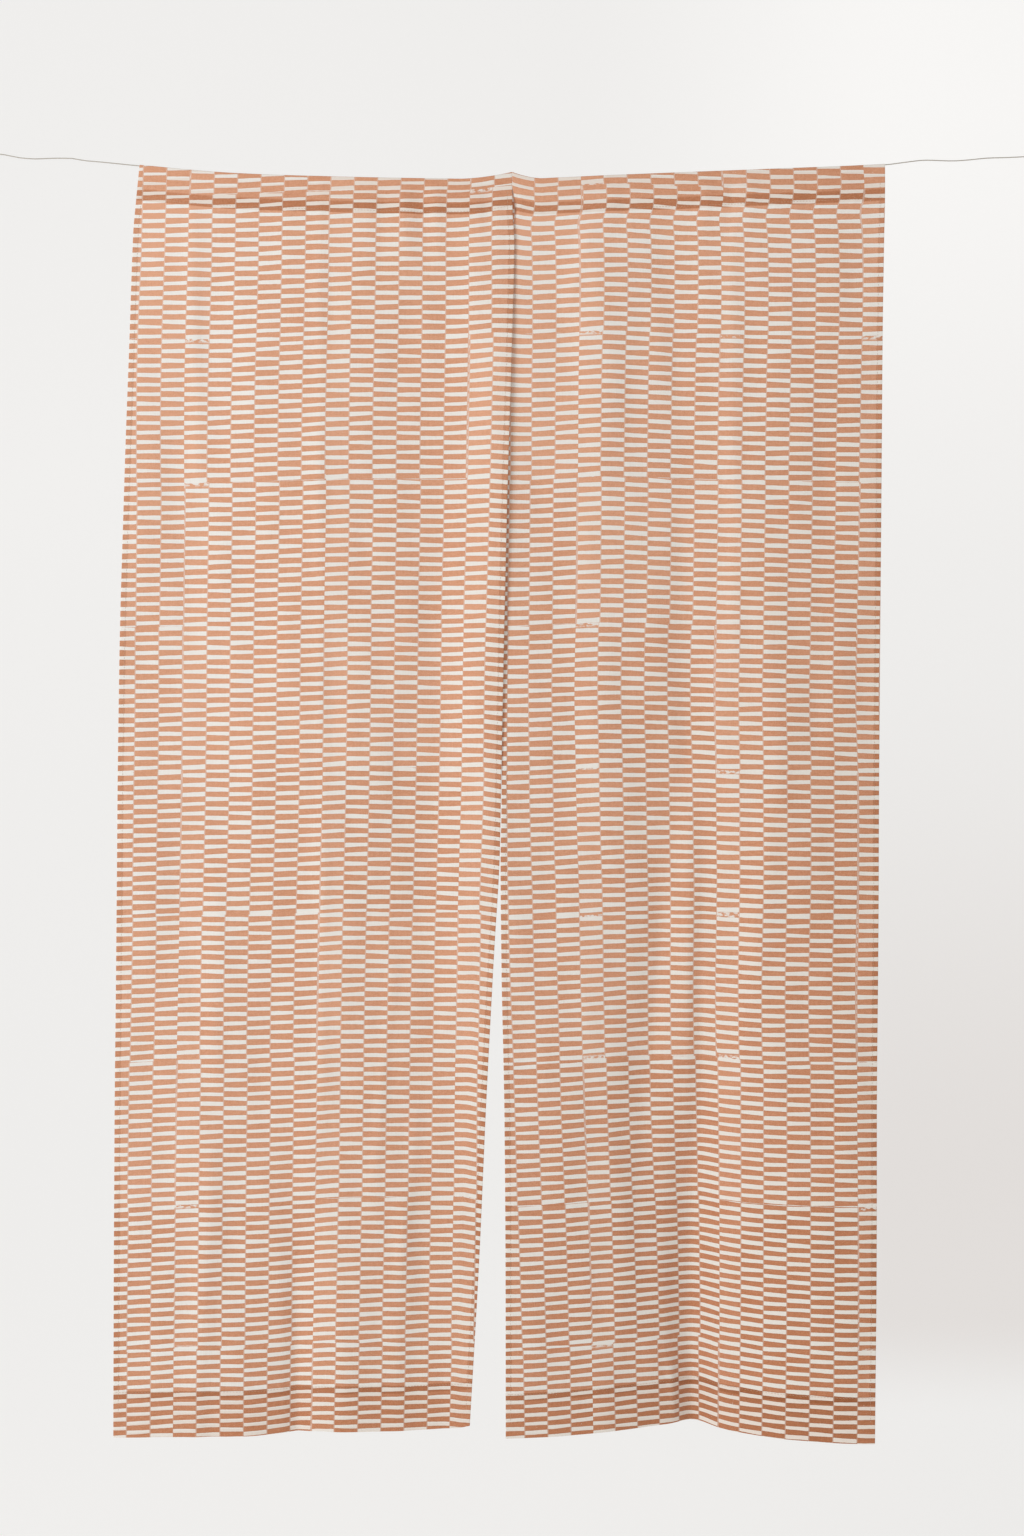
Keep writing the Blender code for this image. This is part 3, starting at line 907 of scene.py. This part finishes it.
def stitch_mesh(name, stitches):
    turns = np.linspace(0, 2 * math.pi, STITCH_SIDES, endpoint=False)
    points, faces = [], []
    for spots, out in stitches:
        forward = unit(spots[-1] - spots[0])
        aside = unit(np.cross(forward, out))
        upright = np.cross(aside, forward)
        first = len(points)
        for spot, size in zip(spots, STITCH_SWELL):
            for turn in turns:
                outward = math.cos(turn) * aside + math.sin(turn) * upright
                points.append(spot + THREAD / 2 * size * outward)
        rings = len(spots)
        for ring in range(rings - 1):
            for k in range(STITCH_SIDES):
                a = first + ring * STITCH_SIDES + k
                b = first + ring * STITCH_SIDES + (k + 1) % STITCH_SIDES
                faces.append((a, b, b + STITCH_SIDES, a + STITCH_SIDES))
        faces.append(tuple(first + k for k in reversed(range(STITCH_SIDES))))
        faces.append(tuple(first + (rings - 1) * STITCH_SIDES + k for k in range(STITCH_SIDES)))
    mesh = bpy.data.meshes.new(name)
    mesh.from_pydata([tuple(p) for p in points], [], faces)
    mesh.shade_smooth()
    return mesh


def at_inset(values, reached, inset):
    """For each row of values, the one at that distance from the panel's edge."""
    rows = zip(values, reached)
    return np.array([[np.interp(inset, far, row[:, k]) for k in range(3)] for row, far in rows])


def seam_lines(side):
    """The lines of stitching of a panel: points, normals and how thick the layers are there."""
    points = grids[side]
    front_rows = [i for i, s in enumerate(path) if s.front > 0 and s.above == 0 and s.along >= OVER_WIRE]
    main = slice(LIP_COLUMNS + SIDE_TURN_STEPS, -(LIP_COLUMNS + SIDE_TURN_STEPS))
    grid = points[front_rows][:, main]
    sideways, downward = np.gradient(grid, axis=1), np.gradient(grid, axis=0)
    normal = unit(np.cross(downward, sideways))
    drops = np.array([path[i].drop for i in front_rows])
    lines = []
    for drop in (POCKET - SEAM_INSET, DROP - BOTTOM_HEM + SEAM_INSET):
        row = int(np.argmin(np.abs(drops - drop)))
        lines.append((grid[row], normal[row], HEM_LAYERS))
    inset = SIDE_HEM - SEAM_INSET * 0.6
    for order in (1, -1):
        from_edge, out = grid[:, ::order], normal[:, ::order]
        steps = np.linalg.norm(np.diff(from_edge, axis=1), axis=2)
        reached = np.concatenate([np.zeros((len(grid), 1)), np.cumsum(steps, axis=1)], axis=1)
        line, out = at_inset(from_edge, reached, inset), at_inset(out, reached, inset)
        lines.append((line[SEAM_ENDS], unit(out)[SEAM_ENDS], SIDE_LAYERS))
    return lines


seams = {}
for side in ("left", "right"):
    stitches = []
    for line, out, thickness in seam_lines(side):
        stitches += along_seam(line + out * CLOTH / 2, out, 0.002)
        stitches += along_seam(line - out * (thickness - CLOTH / 2), -out, 0.002 + STITCH_STEP / 2)
    seam = bpy.data.objects.new(f"stitching_{side}", stitch_mesh(f"stitching_{side}", stitches))
    bpy.context.scene.collection.objects.link(seam)
    seams[side] = seam
    print(seam.name, len(stitches), "stitches")

# %% [markdown]
# ## A class for shader maths
#
# The print is worked out in the material, from the cloth's own coordinates. That takes a lot of
# arithmetic, which is hard to read as separate nodes. This class wraps one socket, so that a sum in
# Python adds the Math nodes for it. Colours and vectors go through Mix and Vector Math instead, since
# a Math node would turn a colour grey.


# %% Shader maths
class Tone:
    """One number, vector or colour of a finish: a socket of a material's nodes."""

    def __init__(self, tree, socket=None):
        self.tree = tree
        self.socket = socket

    def node(self, kind, settings=None, inputs=None, output=0):
        """Adds any node: first its settings, then the values or links of its sockets."""
        made = self.tree.nodes.new(kind)
        for name, value in (settings or {}).items():
            setattr(made, name, value)
        for name, value in (inputs or {}).items():
            if isinstance(value, Tone):
                self.tree.links.new(value.socket, made.inputs[name])
            else:
                made.inputs[name].default_value = value
        return Tone(self.tree, made.outputs[output])

    def math(self, operation, *others):
        terms = {0: self, **{k + 1: other for k, other in enumerate(others)}}
        return self.node("ShaderNodeMath", {"operation": operation}, terms)

    def __add__(self, other):
        return self.math("ADD", other)

    def __radd__(self, other):
        return self.math("ADD", other)

    def __sub__(self, other):
        return self.math("SUBTRACT", other)

    def __rsub__(self, other):
        return self.node("ShaderNodeMath", {"operation": "SUBTRACT"}, {0: other, 1: self})

    def __mul__(self, other):
        return self.math("MULTIPLY", other)

    def __rmul__(self, other):
        return self.math("MULTIPLY", other)

    def __truediv__(self, other):
        return self.math("DIVIDE", other)

    def __abs__(self):
        return self.math("ABSOLUTE")

    def floor(self):
        return self.math("FLOOR")

    def part(self):
        return self.math("FRACT")

    def least(self, other):
        return self.math("MINIMUM", other)

    def most(self, other):
        return self.math("MAXIMUM", other)

    def root(self):
        return self.math("SQRT")

    def rise(self, low, high):
        """0 below low, 1 above high, and a smooth step between them."""
        settings = {"interpolation_type": "SMOOTHSTEP"}
        return self.node("ShaderNodeMapRange", settings, {0: self, 1: low, 2: high, 3: 0.0, 4: 1.0})

    def within(self):
        """The number kept from 0 to 1."""
        return self.node("ShaderNodeClamp", None, {0: self})

    def scaled(self, factor):
        """A colour or vector, made stronger or weaker by a number."""
        return self.node("ShaderNodeVectorMath", {"operation": "SCALE"}, {0: self, 3: factor})

    def between(self, first, second):
        """The colour that lies between two others at this share, from 0 to 1."""
        settings = {"data_type": "RGBA", "clamp_factor": True}
        return self.node("ShaderNodeMix", settings, {0: self, 6: first, 7: second}, output=2)

    def toward(self, other, share):
        """A colour, mixed with another one by a share from 0 to 1."""
        return share.between(self, other)

    def parts(self):
        """The three numbers of a vector or colour."""
        apart = self.node("ShaderNodeSeparateXYZ", None, {0: self})
        return [Tone(self.tree, apart.socket.node.outputs[k]) for k in range(3)]

    def lucky(self, other):
        """Three random numbers from 0 to 1 that belong to this pair of numbers."""
        where = self.node("ShaderNodeCombineXYZ", None, {0: self, 1: other})
        settings = {"noise_dimensions": "2D"}
        return self.node("ShaderNodeTexWhiteNoise", settings, {0: where}, output=1).parts()

    def cloudy(self, other, across, down, detail=1.0, seed=0.0):
        """Smooth noise around 0, from about -1 to 1, with patches of that size across and down."""
        where = self.node("ShaderNodeCombineXYZ", None, {0: self / across, 1: other / down, 2: seed})
        settings = {"noise_dimensions": "3D"}
        noise = where.node("ShaderNodeTexNoise", settings, {0: where, "Scale": 1.0, "Detail": detail})
        return (noise - 0.5) * 2.6


def blank_material(name):
    """A new material, its node tree as a Tone, and its shader node."""
    made = bpy.data.materials.new(name)
    made.use_nodes = True
    shader = made.node_tree.nodes["Principled BSDF"]
    return made, Tone(made.node_tree), shader


def feed(tone, shader, name):
    tone.tree.links.new(tone.socket, shader.inputs[name])


def settle(shader, values):
    """Sets what is the same all over the surface."""
    for name, value in values.items():
        shader.inputs[name].default_value = value


def feed_bump(height, shader, strength, distance):
    values = {"Height": height, "Strength": strength, "Distance": distance}
    feed(height.node("ShaderNodeBump", None, values), shader, "Normal")


def place_in_room(start):
    """The place on the object, in metres: across, away and up."""
    return start.node("ShaderNodeTexCoord", None, None, output=3).parts()


print("shader maths: class Tone")

# %% [markdown]
# ## The carved block
#
# The block is six columns wide and fifteen bars high. It is stamped edge to edge, and each time it
# lands a little to one side, a little askew and with a little more or less ink. Its rows run on over
# the joints and lie closer towards the hem, and the bare bars are thinner in the pocket. The bars are
# cut by hand, so their edges wander and no two are alike. An image could hold all this, but a rule
# needs no file, stays sharp close by and repeats as the real block does: the chance that belongs to
# a bar comes from its place in the block, and that of a stamp from the stamp's place.

# %% Bars of the block
BLOCK_COLUMNS = 6
BLOCK_HEIGHT = 0.1705
FIRST_JOINT = 0.190
BLOCK_ROWS = 15
ROW = 0.01140
ROWS_CLOSER = 1.13
ROWS_CLOSER_BELOW = 3.96
CLOSER_FROM = 0.85
BARE_HALF = 0.202
LINE_HALF = 0.00050
LINE_BARE = 0.38
CORNER_ROUND = 0.0009
SLIP_SIDE = 0.0021
SLIP_DOWN = 0.0026
ASKEW = 0.012
THINNER_IN_POCKET = 0.026
WIDER_BELOW = 0.009
Stamp = namedtuple("Stamp", "bare edge ink worn near_joint in_block")


def stamped(u, v, softness=0.00045):
    """The print at a place: how bare the cloth is, how near a bar's edge, and the stamp's ink."""
    block_across = ((u / COLUMN - 2.0) / BLOCK_COLUMNS).floor()
    block_down = ((v - FIRST_JOINT) / BLOCK_HEIGHT).floor()
    slip_side, slip_down, askew = block_across.lucky(block_down)
    ink, worn, _ = (block_across + 31.7).lucky(block_down + 5.3)
    from_joint = v - FIRST_JOINT - block_down * BLOCK_HEIGHT
    twist = (askew - 0.5) * ASKEW
    middle = (block_across * BLOCK_COLUMNS + 5.0) * COLUMN
    across = u + (slip_side - 0.5) * SLIP_SIDE + twist * (from_joint - BLOCK_HEIGHT / 2)
    down = v - FIRST_JOINT + (slip_down - 0.5) * SLIP_DOWN + twist * (u - middle)
    column = (across / COLUMN).floor()
    in_column = (across / COLUMN).part()
    in_block = column - block_across * BLOCK_COLUMNS - 2.0
    lower = (down - CLOSER_FROM).most(0.0)
    rows = down * (1 / ROW + down * ROWS_CLOSER) + lower * lower * ROWS_CLOSER_BELOW
    odd = (column / 2.0).part() * 2.0
    wander = u.cloudy(v, 0.011, 0.006, 2.0) * 0.00030 + u.cloudy(v, 0.0016, 0.0012, 1.0, 3.0) * 0.00012
    turns = rows + wander / ROW + 0.75 - odd * 0.5
    row = turns.floor()
    in_row = turns - row
    slant, thick, taper = (in_block + 0.5).lucky(row - block_down * BLOCK_ROWS + 0.5)
    to_joint = (from_joint / BLOCK_HEIGHT).part()
    to_joint = to_joint.least(1.0 - to_joint) * BLOCK_HEIGHT
    near_joint = 1.0 - to_joint.rise(0.002, 0.006)
    lean = (in_column - 0.5) * (slant - 0.5) * 0.16
    half = BARE_HALF + (thick - 0.5) * 0.06 + (in_column - 0.5) * (taper - 0.5) * 0.13
    half = half + near_joint * 0.025 + v.rise(1.15, 1.20) * WIDER_BELOW
    half = half + (v.rise(0.02, 0.06) - 1.0) * THINNER_IN_POCKET
    inside_row = (half - abs(in_row - 0.5 + lean)) * ROW
    end_wander = v.cloudy(u, 0.004, 0.02, 1.0, 7.0) * 0.00018
    inside_column = (0.5 - abs(in_column - 0.5)) * COLUMN - LINE_HALF + end_wander
    short_row = (CORNER_ROUND - inside_row).most(0.0)
    short_column = (CORNER_ROUND - inside_column).most(0.0)
    inside = CORNER_ROUND - (short_row * short_row + short_column * short_column).root()
    line = 1.0 - inside_column.rise(-softness / 2, softness / 2)
    bare = inside.rise(-softness / 2, softness / 2).most(line * LINE_BARE)
    edge = 1.0 - abs(inside + 0.0003).rise(0.0002, 0.0009)
    return Stamp(bare, edge, ink, worn, near_joint, in_block)


# %% [markdown]
# ## Printed cotton, right side
#
# Block ink on cotton is never even. It is mottled by the weave, a little darker along the edges
# where the block squeezed it out, and thin in the block's first column, where the wood wears first
# and leaves small bare patches. Hems are painted darker than the body, as painted shade for the
# light that can't come through two or three layers, and the bars of the layer behind show faintly
# between those in front. Towards the hem and the right the ink and the bare cloth are painted darker
# and warmer: painted shade where the lamp's light falls off.

# %% Printed cotton
BARE_COTTON = (0.845, 0.824, 0.778, 1.0)
BARE_SHADE = (0.775, 0.730, 0.663, 1.0)
INK_LIGHT = (0.725, 0.372, 0.230, 1.0)
INK_MIDDLE = (0.500, 0.200, 0.096, 1.0)
INK_DEEP = (0.280, 0.088, 0.026, 1.0)
PAINTED_SHADE_SHOW_THROUGH = (0.770, 0.680, 0.600, 1.0)


def cloth_places(tree_tone):
    """The print's and the cloth's coordinates, in metres."""
    read = []
    for label in ("print", "cloth"):
        read += tree_tone.node("ShaderNodeUVMap", {"uv_map": label}).parts()[:2]
    return read


def layers_behind(along):
    """1 where the cloth is doubled by the pocket or the hem, and 1 more where it is turned in."""
    pocket = 1.0 - along.rise(POCKET + 0.0025, POCKET + 0.0035)
    band = along.rise(POCKET - SEAM_BAND, POCKET - SEAM_BAND + 0.003) * pocket
    hem_top = DROP - BOTTOM_HEM + 0.003
    hem = along.rise(hem_top - 0.0012, hem_top + 0.0002)
    hem_band = hem * (1.0 - along.rise(hem_top + 0.008, hem_top + 0.0095))
    return pocket + hem, band + hem_band * 0.6


def weave(u, v):
    """Threads of the plain weave: fine waves both ways, with thicker threads here and there."""
    warp = (u * (2 * math.pi / 0.00052)).math("SINE")
    weft = (v * (2 * math.pi / 0.00058)).math("SINE")
    slub = u.cloudy(v, 0.0009, 0.03, 1.0, 11.0) + u.cloudy(v, 0.03, 0.0009, 1.0, 12.0)
    return warp * weft * 0.5, slub


def inked_colour(depth):
    """Block ink on the cloth: a thin layer at 0, a full one at 1 and a doubled one at 2. Painted shade in
    the hems and towards the hem and the right raises it too.
    """
    return depth.between(INK_LIGHT, INK_MIDDLE).toward(INK_DEEP, depth - 1.0)


def printed_cotton():
    made, start, shader = blank_material("printed_cotton_right_side")
    u, v, inward, along = cloth_places(start)
    stamp = stamped(u, v)
    doubled, tripled = layers_behind(along)
    side_hem = 1.0 - inward.rise(SIDE_HEM - 0.0006, SIDE_HEM + 0.0002)
    threads, slub = weave(u, along)

    first_column = 1.0 - (stamp.in_block - 0.02).rise(0.0, 0.9)
    patch = u.cloudy(v, 0.0060, 0.0030, 3.0, 21.0)
    worn_block = stamp.worn.rise(0.80, 0.83)
    void = (patch + worn_block * 0.75 - 0.62).rise(0.0, 0.25) * first_column * stamp.near_joint
    fleck = u.cloudy(v, 0.0016, 0.0013, 1.0, 31.0)
    dry = (fleck + doubled * 0.13 + first_column * 0.10 - 0.80).rise(0.0, 0.12)

    right_panel = u.rise(1.0, 1.1)
    cloud = u.cloudy(v, 0.045, 0.035, 2.0, 41.0)
    mottle = u.cloudy(v, 0.0042, 0.0030, 2.0, 51.0)
    grain = u.cloudy(v, 0.0012, 0.0012, 1.0, 61.0)
    lower = v.rise(1.205, 1.215) * 0.07
    across = u - right_panel * (PANELS_APART * COLUMN)
    # Painted shade: the ink is painted darker towards the hem and the right, where the lamp's light falls
    # off.
    depth = 0.05 + (stamp.ink - 0.5) * 0.18 + v * 0.26 + across * 0.46
    depth = depth + right_panel * (-0.05 + v * 0.20 + across * 0.45)
    depth = depth + cloud * 0.12 + mottle * 0.22 + grain * 0.34 + slub * 0.10
    depth = depth + stamp.edge * 0.16 + lower - first_column * 0.14
    # Painted shade: the pocket, the hems and the side hems are painted darker, for the light that can't
    # pass through two or three layers.
    depth = depth + doubled * 0.26 + tripled * 0.62 + along.rise(1.436, 1.437) * 0.06
    depth = depth + side_hem * (1.0 - doubled) * 0.45
    ink = inked_colour(depth)
    # Painted shade: the bare cloth is painted darker and warmer towards the hem and the right, and in the
    # turned-in hems.
    shade = 0.15 + v * 0.15 + across * 1.1
    shade = shade + right_panel * (0.25 - across * 0.8 + across * v.rise(0.1, 0.6) * 1.2)
    shade = (shade + tripled * 0.5 + grain * 0.25 + slub * 0.30).within()
    behind = stamped(u, 2 * DROP + 0.0065 - v, 0.0012)
    # The bars of the layer behind show through, and the doubled and tripled hems are painted darker as
    # painted shade.
    painted_shade_and_show_through = (1.0 - behind.bare) * doubled * 0.6 + doubled * 0.35 + tripled * 0.4
    bare_cloth = shade.between(BARE_COTTON, BARE_SHADE).toward(PAINTED_SHADE_SHOW_THROUGH, painted_shade_and_show_through)
    bare = stamp.bare.most(void * 0.92).most(dry * 0.7)
    inked = 1.0 - bare
    feed(ink.toward(bare_cloth, bare), shader, "Base Color")

    feed_bump(threads * 0.35 + slub * 0.35 + inked * 0.10, shader, 0.35, 0.0003)
    feed(0.93 - inked * 0.06, shader, "Roughness")
    settle(shader, {"Specular IOR Level": 0.25, "Sheen Weight": 0.12, "Sheen Roughness": 0.6})
    return made


right_side = printed_cotton()
print(right_side.name, len(right_side.node_tree.nodes), "nodes")

# %% [markdown]
# ## Printed cotton, wrong side
#
# On the back the ink has only soaked through, so the same bars show paler and softer. The wrong side
# shares the print's coordinates with the right side, and so each bar lies behind its own front.

# %% Wrong side
SOAKED_INK = (0.700, 0.500, 0.385, 1.0)


def soaked_cotton():
    made, start, shader = blank_material("printed_cotton_wrong_side")
    u, v, _, along = cloth_places(start)
    stamp = stamped(u, v, 0.0014)
    threads, slub = weave(u, along)
    mottle = u.cloudy(v, 0.0042, 0.0030, 2.0, 51.0)
    grain = u.cloudy(v, 0.0011, 0.0011, 1.0, 61.0)
    shade = (0.35 + grain * 0.30 + slub * 0.30).within()
    bare_cloth = shade.between(BARE_COTTON, BARE_SHADE)
    soaked = (1.0 - stamp.bare) * (0.80 + mottle * 0.22 + grain * 0.12)
    feed(bare_cloth.toward(SOAKED_INK, soaked), shader, "Base Color")
    feed_bump(threads * 0.35 + slub * 0.40, shader, 0.35, 0.0003)
    settle(shader, {"Roughness": 0.95, "Specular IOR Level": 0.25, "Sheen Weight": 0.12})
    return made


wrong_side = soaked_cotton()
for panel in panels.values():
    panel.data.materials.append(right_side)
    panel.data.materials.append(wrong_side)
print(wrong_side.name, len(wrong_side.node_tree.nodes), "nodes")

# %% [markdown]
# ## Thread and steel
#
# The sewing thread is spun cotton a shade darker than the bare cloth, with a fine twist. The wire is
# drawn steel that has dulled to a warm grey, with faint lines along it and a few darker spots. The
# room's paint is made here too. It glows, with painted light at the upper right and a painted shadow
# at the lower right.

# %% Thread and steel
THREAD_PALE = (0.62, 0.43, 0.31, 1.0)
THREAD_DARK = (0.46, 0.29, 0.19, 1.0)
STEEL_PALE = (0.62, 0.58, 0.52, 1.0)
STEEL_DARK = (0.40, 0.36, 0.31, 1.0)
PAINT_PALE = (0.42, 0.417, 0.41, 1.0)
PAINT_DARK = (0.414, 0.411, 0.404, 1.0)
GLOW_PALE = (0.565, 0.560, 0.554, 1.0)
GLOW_DARK = (0.560, 0.555, 0.549, 1.0)
GLOW_IN_PAINTED_SHADOW = (0.472, 0.446, 0.432, 1.0)


def sewing_thread():
    made, start, shader = blank_material("sewing_thread")
    x, _, z = place_in_room(start)
    twist = ((x + z) * (2 * math.pi / 0.0006)).math("SINE")
    tone = x.cloudy(z, 0.01, 0.01, 1.0)
    share = (0.45 + twist * 0.25 + tone * 0.2).within()
    feed(share.between(THREAD_PALE, THREAD_DARK), shader, "Base Color")
    feed_bump(twist, shader, 0.4, 0.00005)
    settle(shader, {"Roughness": 0.85})
    return made


def drawn_steel():
    made, start, shader = blank_material("drawn_steel")
    x, y, z = place_in_room(start)
    lines = z.cloudy(x, 0.00015, 0.03, 2.0)
    spots = x.cloudy(y, 0.004, 0.002, 2.0, 5.0)
    share = (0.5 + lines * 0.3 + spots * 0.3).within()
    feed(share.between(STEEL_PALE, STEEL_DARK), shader, "Base Color")
    feed((0.38 + spots * 0.12).within(), shader, "Roughness")
    settle(shader, {"Metallic": 0.75})
    return made


def glowing_pale_paint():
    """Paint that glows a little, with painted light at the upper right and a browner painted shadow at the
    lower right.
    """
    made, start, shader = blank_material("glowing_pale_paint")
    x, y, z = place_in_room(start)
    tone = (0.5 + x.cloudy(z, 1.2, 1.2, 1.0) * 0.3).within()
    feed(tone.between(PAINT_PALE, PAINT_DARK), shader, "Base Color")
    glow = tone.between(GLOW_PALE, GLOW_DARK)
    # Painted light at the upper right of the wall and a painted shadow at its lower right, placed by their
    # direction from the camera.
    away = y + CAMERA_DISTANCE
    to_right = (x / away).rise(0.02, 0.19)
    upward = (z - CAMERA_HEIGHT) / away
    painted_light = to_right * upward.rise(0.08, 0.33) * 0.14
    painted_shadow = to_right * (1.0 - upward.rise(-0.204, 0.079)) * upward.rise(-0.308, -0.256)
    feed(glow.scaled(1.0 + painted_light).toward(GLOW_IN_PAINTED_SHADOW, painted_shadow), shader, "Emission Color")
    settle(shader, {"Emission Strength": 1.0, "Roughness": 1.0, "Specular IOR Level": 0.0})
    return made


thread, steel, paint = sewing_thread(), drawn_steel(), glowing_pale_paint()
for seam in seams.values():
    seam.data.materials.append(thread)
for piece in (hanging_wire, *eyes.values()):
    piece.data.materials.append(steel)
room.data.materials.append(paint)
print("finishes:", [material.name for material in bpy.data.materials])

# %% Ride and replace
for side, panel in panels.items():
    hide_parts(f"panel_{side}")
    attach(panel, "root")
    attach(seams[side], "root")
for piece in (hanging_wire, *eyes.values()):
    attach(piece, "root")
